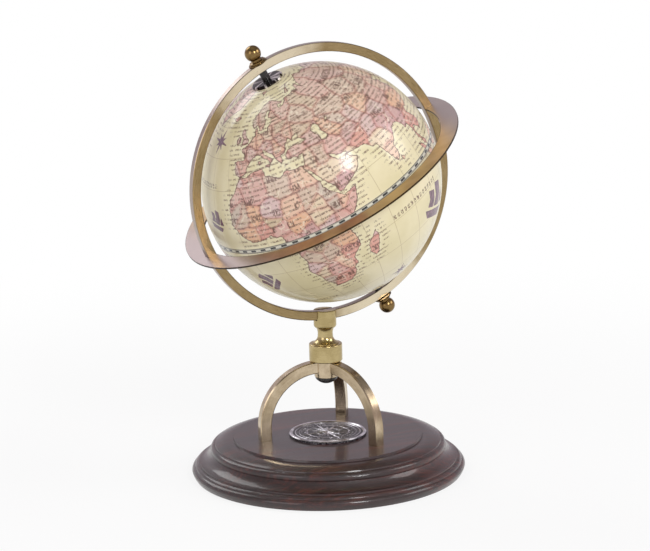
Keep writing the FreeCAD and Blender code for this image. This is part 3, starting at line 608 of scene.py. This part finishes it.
def edge_distance(points, outline):
    """Shortest distance in millimetres from unit vectors to a closed outline of unit vectors."""
    best = np.full(len(points), 9.0)
    for a, b in zip(outline, np.roll(outline, -1, axis=0)):
        along = b - a
        share = np.clip((points - a) @ along / max(along @ along, 1e-12), 0.0, 1.0)
        best = np.minimum(best, np.linalg.norm(points - a - share[:, None] * along, axis=1))
    return best * BALL_RADIUS / MM


def inside(longitude, latitude, outline):
    """Even-odd test in plain longitude and latitude."""
    found = np.zeros(len(longitude), dtype=bool)
    for (x0, y0), (x1, y1) in zip(outline, outline[1:] + outline[:1]):
        if y0 == y1:
            continue
        crosses = (y0 > latitude) != (y1 > latitude)
        found ^= crosses & (longitude < (x1 - x0) * (latitude - y0) / (y1 - y0) + x0)
    return found


def signed_coast(points, longitude, latitude, outlines):
    """Distance to the nearest of these coasts in millimetres, positive inside."""
    signed = np.full(len(points), -30.0)
    for outline in outlines:
        corners = np.array(outline, dtype=float)
        middle = on_sphere(*corners.mean(axis=0))
        reach = np.linalg.norm(on_sphere(corners[:, 0], corners[:, 1]) - middle, axis=1).max() + 0.35
        near = np.linalg.norm(points - middle, axis=1) < reach
        distance = edge_distance(points[near], on_sphere(corners[:, 0], corners[:, 1]))
        within = inside(longitude[near], latitude[near], outline)
        within |= inside(longitude[near] + 360, latitude[near], outline)
        signed[near] = np.maximum(signed[near], np.where(within, distance, -distance))
    return signed


def ripple(points, strength):
    """Fixed small waves that give borders and coasts an uneven hand."""
    waves = np.zeros_like(points)
    for step, rate in enumerate((23.0, 41.0, 67.0)):
        shift = points[:, [1, 2, 0]] * rate + step * 1.7
        waves += np.sin(shift + points * rate * 0.6) / (1 + step)
    return points + waves * strength


def country_fields(points):
    """Tint of the nearest country centre, and the distance to the border in millimetres."""
    seeds = [(place, tint) for tint, places in COUNTRIES.items() for place in places]
    centres = on_sphere(*np.array([place for place, _ in seeds], dtype=float).T)
    gaps = 2 - 2 * ripple(points, 0.010) @ centres.T
    order = np.argpartition(gaps, 1, axis=1)[:, :2]
    first, second = np.take_along_axis(gaps, order, axis=1).T
    swap = first > second
    order[swap] = order[swap][:, ::-1]
    spread = np.linalg.norm(centres[order[:, 0]] - centres[order[:, 1]], axis=1)
    border = np.abs(second - first) / (2 * spread) * BALL_RADIUS / MM
    colours = np.array([TINTS[tint] for _, tint in seeds])
    return colours[order[:, 0]], border


def figure_field(points):
    """Signed distance to the engraved ships and wind roses, positive inside, in millimetres."""
    field = np.full(len(points), -9.0)
    for longitude, latitude, turn, height in SHIPS:
        for sail in SHIP_SAILS:
            outline = [(x * height, y * height) for x, y in sail]
            add_figure(field, points, (longitude, latitude), turn, outline)
    for longitude, latitude, height in ROSES:
        star = []
        for step in range(16):
            reach = height / 2 * (1.0, 0.26, 0.66, 0.26)[step % 4]
            star.append((reach * math.sin(step * math.pi / 8), reach * math.cos(step * math.pi / 8)))
        add_figure(field, points, (longitude, latitude), 12.0, star)
    return field


def add_figure(field, points, place, turn, outline):
    """Merge one flat outline, in millimetres about its place, into the field."""
    centre = on_sphere(*place)
    east = np.array([-centre[1], centre[0], 0.0])
    east /= np.linalg.norm(east)
    north = np.cross(centre, east)
    near = np.flatnonzero(np.linalg.norm(points - centre, axis=1) < 0.26)
    scale = BALL_RADIUS / MM
    angle = math.radians(turn)
    u = points[near] @ east * scale
    v = points[near] @ north * scale
    x = u * math.cos(angle) - v * math.sin(angle)
    y = u * math.sin(angle) + v * math.cos(angle)
    best = np.full(len(near), 9.0)
    for (x0, y0), (x1, y1) in zip(outline, outline[1:] + outline[:1]):
        length = max((x1 - x0) ** 2 + (y1 - y0) ** 2, 1e-9)
        share = np.clip(((x - x0) * (x1 - x0) + (y - y0) * (y1 - y0)) / length, 0, 1)
        best = np.minimum(best, np.hypot(x - x0 - share * (x1 - x0), y - y0 - share * (y1 - y0)))
    signed = np.where(inside(x, y, outline), best, -best)
    field[near] = np.maximum(field[near], signed)


def deselect():
    bpy.ops.object.select_all(action="DESELECT")


def settle(piece):
    """Apply place, turn and size so that the object ends at the origin."""
    deselect()
    piece.select_set(True)
    bpy.context.view_layer.objects.active = piece
    bpy.ops.object.transform_apply(location=True, rotation=True, scale=True)


def keep_where(piece, test):
    """Delete every vertex for which the test on its coordinates is false."""
    deselect()
    piece.select_set(True)
    bpy.context.view_layer.objects.active = piece
    co = np.empty(len(piece.data.vertices) * 3)
    piece.data.vertices.foreach_get("co", co)
    keep = test(co.reshape(-1, 3))
    bpy.ops.object.mode_set(mode="EDIT")
    bpy.ops.mesh.select_mode(type="VERT")
    bpy.ops.mesh.select_all(action="DESELECT")
    bpy.ops.object.mode_set(mode="OBJECT")
    piece.data.vertices.foreach_set("select", ~keep)
    bpy.ops.object.mode_set(mode="EDIT")
    bpy.ops.mesh.delete(type="VERT")
    bpy.ops.object.mode_set(mode="OBJECT")


def paper_gores(name, side):
    """Printed paper over one half of the ball, with its map kept in mesh attributes."""
    deselect()
    bpy.ops.mesh.primitive_uv_sphere_add(
        segments=MAP_SEGMENTS, ring_count=MAP_RINGS, radius=BALL_RADIUS + PAPER_RISE)
    piece = bpy.context.object
    piece.name = name
    high = (BALL_RADIUS + PAPER_RISE) * math.sin(CAP_REACH)
    equator_slack = 0.001 * MM
    keep_where(piece, lambda co: (co[:, 2] * side > -equator_slack) & (co[:, 2] * side < high))
    bpy.ops.object.mode_set(mode="EDIT")
    bpy.ops.mesh.select_all(action="SELECT")
    bpy.ops.mesh.subdivide(number_cuts=MAP_CUTS)
    bpy.ops.object.mode_set(mode="OBJECT")
    mesh = piece.data
    co = np.empty(len(mesh.vertices) * 3)
    mesh.vertices.foreach_get("co", co)
    local = co.reshape(-1, 3)
    local = local / np.linalg.norm(local, axis=1)[:, None]
    mesh.vertices.foreach_set("co", (local * (BALL_RADIUS + PAPER_RISE)).ravel())
    turn = Matrix.Rotation(PRIME_MERIDIAN_TURN, 3, "Z")
    points = local @ np.array(turn).T
    latitude = np.degrees(np.arcsin(np.clip(points[:, 2], -1, 1)))
    longitude = np.degrees(np.arctan2(points[:, 1], points[:, 0]))
    uneven = ripple(points, 0.0035)
    coast = signed_coast(uneven, longitude, latitude, LANDS.values())
    lakes = signed_coast(uneven, longitude, latitude, INLAND_SEAS.values())
    tints, border = country_fields(points)
    store(mesh, "coast", np.minimum(coast, -lakes))
    store(mesh, "border", border)
    store(mesh, "figure", figure_field(points))
    tint_layer = mesh.attributes.new("tint", "FLOAT_COLOR", "POINT")
    tint_layer.data.foreach_set("color", np.hstack([tints, np.ones((len(tints), 1))]).ravel())
    write_degrees(mesh, longitude, latitude)
    piece.rotation_euler = (0.0, AXLE_LEAN, 0.0)
    piece.location = GLOBE_CENTRE
    settle(piece)
    bpy.ops.object.shade_smooth()
    return piece


def store(mesh, name, values):
    layer = mesh.attributes.new(name, "FLOAT", "POINT")
    layer.data.foreach_set("value", values.astype(np.float32))


def write_degrees(mesh, longitude, latitude):
    """UV map in degrees, whole across each face even at the date line."""
    corners = np.empty(len(mesh.loops), dtype=np.int32)
    mesh.loops.foreach_get("vertex_index", corners)
    faces = np.empty(len(mesh.polygons), dtype=np.int32)
    mesh.polygons.foreach_get("loop_total", faces)
    owner = np.repeat(np.arange(len(faces)), faces)
    u = longitude[corners]
    top = np.full(len(faces), -1e9)
    np.maximum.at(top, owner, u)
    u = np.where((top[owner] > 90) & (u < -90), u + 360, u)
    uv = mesh.uv_layers[0]
    uv.data.foreach_set("uv", np.stack([u, latitude[corners]], axis=1).ravel().astype(np.float32))


# ---------------------------------------------------------------- map finish
def near_line(flow, spacing, width):
    """1 on lines repeated at this spacing, in degrees, fading over the width."""
    offset = ((flow / spacing + 0.5).fraction() - 0.5).absolute() * spacing
    return offset.ease(width, width * 0.35)


def lettering(finish, lon, lat, row_height, size, density, seed):
    """Rows of small pen strokes, grouped as words, that only suggest writing."""
    row = (lat + seed) / row_height
    inside_row = row.fraction()
    row_number = row.floor()
    shrink = ((row_number + 0.5) * math.radians(row_height)).maths("COSINE")
    lon = lon * shrink
    words_at = finish.join(lon * (0.34 / size), row_number * 7.31 + seed, 0.0)
    words = finish.noise(words_at, 1.0, 1.0)
    strokes_at = finish.join(lon * (3.4 / size), row_number * 5.17 + inside_row * 3.0, seed)
    strokes = finish.noise(strokes_at, 1.0, 2.0, 0.7)
    band = inside_row.ease(0.18, 0.26) * inside_row.ease(0.66, 0.56)
    return strokes.ease(0.46, 0.52) * band * words.ease(density, density - 0.03)


def printed_map():
    """Varnished antique-style map: seas, tinted countries, borders, graticule and equator scale."""
    finish = Finish("printed_map", Coat_Weight=0.55, Coat_Roughness=0.12)
    place = finish.place()
    field = {
        name: finish.node("ShaderNodeAttribute", {"attribute_name": name}, output="Fac")
        for name in ("coast", "border", "figure")
    }
    tint = finish.node("ShaderNodeAttribute", {"attribute_name": "tint"}, output="Color")
    lon, lat, _ = finish.split(finish.node("ShaderNodeTexCoord", output="UV"))
    wobble = finish.noise(place, 620.0, 3.0, 0.6) - 0.5
    coast = field["coast"] + wobble * 1.6
    cloud = finish.noise(place, 26.0, 4.0, 0.55)
    mottle = finish.noise(place, 420.0, 3.0, 0.6)
    fibre = finish.noise(place, 3000.0, 2.0, 0.6)

    land = coast.ease(-0.10, 0.10)
    shelf = coast.ease(-2.6, -0.1)
    sea = finish.mix(cloud.ease(0.35, 0.68), tone(212, 202, 158), tone(224, 215, 178))
    shallow = finish.mix(shelf * 0.5, sea, tone(226, 220, 190))
    calm = lat.ease(22.0, 44.0) * 0.28
    aged = finish.mix(mottle.ease(0.42, 0.70) * 0.2 + 0.36 + calm, tint, tone(214, 194, 174))
    ground = finish.mix(land, shallow, aged)

    rim = field["border"].ease(1.8, 0.3) * land * 0.30
    ground = finish.mix(rim, ground, tone(196, 112, 104))
    ink = tone(92, 58, 44)
    brown = tone(128, 78, 62)
    shore = (coast.absolute()).ease(0.34, 0.12)
    frontier = field["border"].ease(0.50, 0.15) * land
    grid = near_line(lon, 15.0, 0.20).at_least(near_line(lat, 15.0, 0.17))
    rivers = (finish.noise(place, 85.0, 3.0, 0.45) - 0.5).absolute().ease(0.012, 0.003) * coast.ease(1.0, 2.0)
    hills = finish.noise(place, 1500.0, 2.0, 0.7).ease(0.60, 0.68)
    hills = hills * finish.noise(place, 70.0, 2.0).ease(0.52, 0.6)
    ground = finish.mix(grid * 0.55, ground, tone(150, 124, 84))
    ground = finish.mix(rivers * 0.55, ground, tone(232, 226, 204))
    ground = finish.mix(hills * land * 0.35, ground, brown)
    ground = finish.mix(frontier * 0.60, ground, brown)
    ground = finish.mix(shore * 0.95, ground, ink)

    near_land = (coast + wobble * 9.0).ease(-7.5, -4.5)
    small = lettering(finish, lon, lat, 2.3, 1.0, 0.56, 0.3) * near_land
    crowd = coast.ease(-2.0, 0.0) * 0.8 * north_crowd(lon, lat)
    dense = lettering(finish, lon, lat, 1.7, 0.8, 0.52, 3.9) * crowd
    large = lettering(finish, lon, lat, 7.5, 2.6, 0.46, 1.9) * land
    names = ocean_name(finish, lon, lat, -13.0, 60.0, 95.0, 2.6)
    names = names.at_least(ocean_name(finish, lon, lat, -44.0, -24.0, 12.0, 2.2))
    names = names.at_least(ocean_name(finish, lon, lat, 32.0, -52.0, -26.0, 2.4))
    names = names.at_least(ocean_name(finish, lon, lat, 5.0, -160.0, -110.0, 2.6))
    letters = (small * 0.85).at_least(dense * 0.90).at_least(large * 0.85).at_least(names)
    ground = finish.mix(letters, ground, ink)

    inner = field["figure"] + (finish.noise(place, 900.0, 2.0) - 0.5) * 0.5
    hatch = finish.noise(finish.scaled(place, 1500.0, 1500.0, 300.0), 1.0, 2.0).ease(0.42, 0.58)
    vignette = finish.mix(hatch, tone(74, 46, 60), tone(124, 88, 104))
    ground = finish.mix(inner.ease(-0.10, 0.08), ground, vignette)

    ground = equator_scale(finish, lon, lat, ground)
    finish.feed(Base_Color=ground)
    finish.feed(Roughness=mottle * 0.12 + fibre * 0.08 + 0.34)
    finish.bump(fibre * 0.4 + mottle * 0.6, 0.05, 0.0001)
    return finish.material


def ocean_name(finish, lon, lat, row, start, end, height):
    """One long row of spaced strokes, like capitals, across a sea."""
    band = (lat - row).absolute().ease(height * 0.5, height * 0.4)
    span = (lon > start) * (lon < end)
    slot = lon / 2.4
    gap = (slot.fraction() - 0.45).absolute().ease(0.36, 0.26)
    wiggle = finish.noise(finish.join(lon * 1.5, lat * 0.8, row), 1.0, 1.0)
    stem = ((wiggle - 0.5).absolute()).ease(0.10, 0.05)
    return band * span * gap * stem * 0.9


def north_crowd(lon, lat):
    """The crowded part of the map: the names thicken over the middle north."""
    return lat.ease(24.0, 36.0) * lat.ease(72.0, 60.0) * lon.ease(-14.0, -4.0) * lon.ease(150.0, 130.0)


def equator_scale(finish, lon, lat, ground):
    """Chequered degree scale round the equator between thin double lines."""
    south = lat.absolute()
    band = south.ease(1.05, 0.95)
    chequer = (lon / 6.0).fraction() < 0.5
    squares = finish.mix(chequer, tone(206, 204, 186), tone(26, 28, 26))
    ground = finish.mix(band, ground, tone(232, 226, 204))
    ground = finish.mix(south.ease(0.50, 0.42), ground, squares)
    rules = (south - 0.62).absolute().ease(0.14, 0.06).at_least((south - 1.02).absolute().ease(0.26, 0.14))
    return finish.mix(rules * 0.9, ground, tone(44, 38, 34))


# ---------------------------------------------------------------- medallion
def flat_star(points, reach, waist, base, rise, turn):
    """Pointed star with a raised ridge on each ray."""
    deselect()
    bpy.ops.mesh.primitive_circle_add(
        vertices=points * 2, radius=1.0, fill_type="TRIFAN", rotation=(0, 0, turn))
    star = bpy.context.object
    settle(star)
    for vertex in star.data.vertices:
        length = vertex.co.xy.length
        if length < 0.5:
            vertex.co.z = base + rise
            continue
        step = round((math.atan2(vertex.co.y, vertex.co.x) - turn) / (math.pi / points))
        radius = reach if step % 2 == 0 else waist
        vertex.co.xy *= radius / length
        vertex.co.z = base + (rise * 0.45 if step % 2 == 0 else 0.0)
    return star


def ring_bead(radius, thickness, height):
    """Raised round moulding on the medallion."""
    deselect()
    bpy.ops.mesh.primitive_torus_add(
        major_segments=128, minor_segments=10, major_radius=radius, minor_radius=thickness,
        location=(0, 0, height))
    bead = bpy.context.object
    settle(bead)
    return bead


def medallion():
    """Embossed silver disc: dished rim, ring mouldings, beads, rays and a wind star."""
    low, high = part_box("compass_medallion")
    radius = (high[0] - low[0]) / 2
    plate = high[2] - 0.8 * MM
    deselect()
    bpy.ops.mesh.primitive_cylinder_add(vertices=160, radius=radius, depth=plate - low[2],
                                        location=(0, 0, (plate + low[2]) / 2))
    disc = bpy.context.object
    settle(disc)
    bpy.ops.object.mode_set(mode="EDIT")
    bpy.ops.mesh.select_mode(type="FACE")
    bpy.ops.mesh.select_all(action="DESELECT")
    bpy.ops.object.mode_set(mode="OBJECT")
    for face in disc.data.polygons:
        face.select = face.normal.z > 0.9
    bpy.ops.object.mode_set(mode="EDIT")
    bpy.ops.mesh.inset(thickness=0.5 * MM, depth=0.55 * MM)
    bpy.ops.mesh.inset(thickness=1.1 * MM, depth=0.0)
    bpy.ops.mesh.inset(thickness=0.6 * MM, depth=-0.55 * MM)
    bpy.ops.object.mode_set(mode="OBJECT")
    pieces = [disc]
    for share, thick in ((0.84, 0.34), (0.74, 0.24), (0.54, 0.28), (0.30, 0.24), (0.16, 0.26)):
        pieces.append(ring_bead(radius * share, thick * MM, plate))
    for points, reach, waist, rise, turn in (
            (8, 0.50, 0.09, 0.40, 22.5), (4, 0.66, 0.07, 0.50, 45.0), (4, 0.86, 0.08, 0.62, 0.0)):
        pieces.append(flat_star(points, radius * reach, radius * waist, plate, rise * MM, math.radians(turn)))
    pieces += bead_rows(radius, plate)
    deselect()
    for piece in pieces:
        piece.select_set(True)
    bpy.context.view_layer.objects.active = disc
    bpy.ops.object.join()
    disc.name = "medallion_relief"
    deselect()
    disc.select_set(True)
    bpy.ops.object.shade_smooth_by_angle(angle=math.radians(28))
    return disc


def bead_rows(radius, plate):
    """Short raised bars and beads between the ring mouldings, copied from one bead."""
    deselect()
    bpy.ops.mesh.primitive_uv_sphere_add(segments=8, ring_count=5, radius=1.0)
    first = bpy.context.object
    beads = []
    rows = ((0.66, 40, 0.36, 0.9), (0.58, 32, 0.42, 0.5), (0.35, 20, 0.40, 0.8), (0.70, 56, 0.24, 0.5))
    for row, (share, count, size, stretch) in enumerate(rows):
        for step in range(count):
            angle = 2 * math.pi * (step + 0.37 * row) / count
            uneven = 1 + 0.35 * math.sin(step * 2.3 + row)
            mesh = first.data.copy()
            reach = size * MM * uneven
            spot = (radius * share * math.cos(angle), radius * share * math.sin(angle), plate)
            turn = Matrix.Rotation(angle + 0.6 * math.sin(step * 1.9), 4, "Z")
            stretched = Matrix.Diagonal((reach * stretch * 1.8, reach * uneven, reach * 0.7, 1.0))
            mesh.transform(Matrix.Translation(spot) @ turn @ stretched)
            bead = bpy.data.objects.new("bead", mesh)
            bpy.context.collection.objects.link(bead)
            beads.append(bead)
    bpy.data.objects.remove(first)
    return beads


# ---------------------------------------------------------------- room, light and camera
def pale_stage():
    """White sweep: bright to the eye and in reflections, with the object's soft shadow kept."""
    deselect()
    bpy.ops.mesh.primitive_circle_add(vertices=96, radius=4.0, fill_type="NGON", location=(0, 0, -0.00005))
    floor = bpy.context.object
    floor.name = "floor"
    settle(floor)
    finish = Finish("white_sweep", Roughness=0.9)
    finish.shader.inputs["Base Color"].default_value = (0.80, 0.80, 0.80, 1.0)
    finish.shader.inputs["Specular IOR Level"].default_value = 0.0
    rays = finish.tree.nodes.new("ShaderNodeLightPath")
    seen = Flow(finish, rays.outputs["Is Camera Ray"]).at_least(Flow(finish, rays.outputs["Is Glossy Ray"]))
    seen = seen.at_least(Flow(finish, rays.outputs["Is Transmission Ray"]))
    glow = finish.tree.nodes.new("ShaderNodeEmission")
    glow.inputs["Strength"].default_value = 1.0
    blend = finish.tree.nodes.new("ShaderNodeMixShader")
    x, y, _ = finish.split(finish.place())
    away = (x * x + y * y).maths("SQRT").ease(0.15, 0.60)
    finish.tree.links.new((seen * (away * 0.15 + 0.85)).socket, blend.inputs[0])
    finish.tree.links.new(finish.shader.outputs[0], blend.inputs[1])
    finish.tree.links.new(glow.outputs[0], blend.inputs[2])
    finish.tree.links.new(blend.outputs[0], finish.tree.nodes["Material Output"].inputs[0])
    floor.data.materials.append(finish.material)


def studio_world():
    """Even studio surround: white to the eye, softly graded where metal mirrors it."""
    world = bpy.data.worlds.new("studio")
    world.use_nodes = True
    bpy.context.scene.world = world
    tree = world.node_tree
    background = tree.nodes["Background"]
    rays = tree.nodes.new("ShaderNodeLightPath")
    place = tree.nodes.new("ShaderNodeTexCoord")
    split = tree.nodes.new("ShaderNodeSeparateXYZ")
    ramp = tree.nodes.new("ShaderNodeValToRGB")
    mixer = tree.nodes.new("ShaderNodeMix")
    mixer.data_type = "RGBA"
    stops = (
        (0.0, (1.0, 1.0, 1.0)), (0.50, (0.84, 0.78, 0.84)), (0.60, (0.60, 0.54, 0.60)),
        (0.73, (0.55, 0.50, 0.54)), (0.84, (0.20, 0.19, 0.19)), (1.0, (0.60, 0.60, 0.60)))
    set_stops(ramp.color_ramp, stops)
    lift = tree.nodes.new("ShaderNodeMath")
    lift.operation = "MULTIPLY_ADD"
    lift.inputs[1].default_value = 0.5
    lift.inputs[2].default_value = 0.5
    tree.links.new(place.outputs["Generated"], split.inputs[0])
    tree.links.new(split.outputs["Z"], lift.inputs[0])
    tree.links.new(lift.outputs[0], ramp.inputs[0])
    tree.links.new(rays.outputs["Is Camera Ray"], mixer.inputs[0])
    tree.links.new(ramp.outputs[0], mixer.inputs[6])
    mixer.inputs[7].default_value = (1.0, 1.0, 1.0, 1.0)
    tree.links.new(mixer.outputs[2], background.inputs[0])
    background.inputs[1].default_value = 1.0


def soft_lamp(name, place, target, size, watts, tall=None):
    """Rectangular soft box that looks at a point."""
    lamp = bpy.data.lights.new(name, "AREA")
    lamp.shape = "RECTANGLE"
    lamp.size = size
    lamp.size_y = tall or size
    lamp.energy = watts
    holder = bpy.data.objects.new(name, lamp)
    bpy.context.collection.objects.link(holder)
    holder.location = place
    holder.rotation_euler = (Vector(target) - Vector(place)).to_track_quat("-Z", "Y").to_euler()


def camera():
    """Long lens, a little above the object and to its left front."""
    lens = bpy.data.cameras.new("camera")
    lens.lens = 145.1
    lens.sensor_width = 36.0
    lens.sensor_fit = "HORIZONTAL"
    holder = bpy.data.objects.new("camera", lens)
    bpy.context.collection.objects.link(holder)
    holder.location = (-0.62466, -1.35923, 0.45834)
    holder.rotation_euler = tuple(math.radians(angle) for angle in (77.2141, 1.4256, -25.0329))
    bpy.context.scene.camera = holder


# ---------------------------------------------------------------- dress the object
def dress(node, material):
    """Give a carried-over part its finish."""
    shown = frame["nodes"][node]
    shown.data.materials.clear()
    shown.data.materials.append(material)


LEG_BRASS = brass("leg_brass", tone(160, 142, 114), tone(214, 196, 168), lines_up_legs, 0.22)
STEM_BRASS = brass("stem_brass", tone(160, 142, 96), tone(196, 178, 132), lines_round_stem, 0.24)
RING_BRASS = meridian_brass()
HORIZON_BRASS = horizon_brass()
FINIAL_BRASS = brass("finial_brass", tone(98, 78, 46), tone(146, 120, 78), lines_round_finial, 0.24)
STEEL = bright_steel()
SILVER_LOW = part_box("compass_medallion")[1][2] - 0.85 * MM
SILVER = antique_silver(SILVER_LOW, SILVER_LOW + 0.35 * MM)
PLASTIC = moulded_plastic()
BLACK = black_gloss()

FINISHES = {
    "base_plinth": lacquered_walnut(),
    "base_felt_pad": felt(),
    "leg_left": LEG_BRASS, "leg_front": LEG_BRASS, "leg_rear": LEG_BRASS, "leg_hub": LEG_BRASS,
    "leg_screws": STEEL, "leg_washers": STEEL, "stem_stud": STEEL, "fork_grub_screw": STEEL,
    "axle_rod": STEEL, "north_spacer": BLACK, "south_spacer": BLACK,
    "hub_washer": BLACK, "hub_cap_nut": BLACK,
    "stem_collar": STEM_BRASS, "stem_column": STEM_BRASS,
    "meridian_ring": RING_BRASS, "horizon_ring": HORIZON_BRASS,
    "north_finial": FINIAL_BRASS, "south_finial": FINIAL_BRASS,
    "north_washer": FINIAL_BRASS, "south_washer": FINIAL_BRASS,
    "north_pole_cap": dark_plate(), "south_pole_cap": dark_plate(),
    "fork_pad": PLASTIC, "globe_seam_band": PLASTIC, "north_bush": PLASTIC, "south_bush": PLASTIC,
    "north_globe_half": PLASTIC, "south_globe_half": PLASTIC, "compass_medallion": SILVER,
}
for node_name, finish_material in FINISHES.items():
    dress(node_name, finish_material)

relief = medallion()
relief.data.materials.clear()
relief.data.materials.append(SILVER)
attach(relief, "stand")
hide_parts("compass_medallion")

MAP = printed_map()
for gores_name, side in (("gores_north", 1), ("gores_south", -1)):
    gores = paper_gores(gores_name, side)
    gores.data.materials.append(MAP)
    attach(gores, "globe")

pale_stage()
studio_world()
soft_lamp("key", (0.04, -1.50, 0.95), (0, 0, 0.15), 0.36, 11.0, 0.50)
soft_lamp("side", (1.6, -0.9, 1.2), (0, 0, 0.15), 0.9, 12.0)
soft_lamp("fill", (-1.9, -0.9, 0.9), (0, 0, 0.15), 1.2, 9.0)
soft_lamp("back", (-0.6, 1.6, 1.5), (0, 0, 0.15), 1.2, 14.0)
camera()
bpy.context.scene.view_settings.view_transform = "Standard"
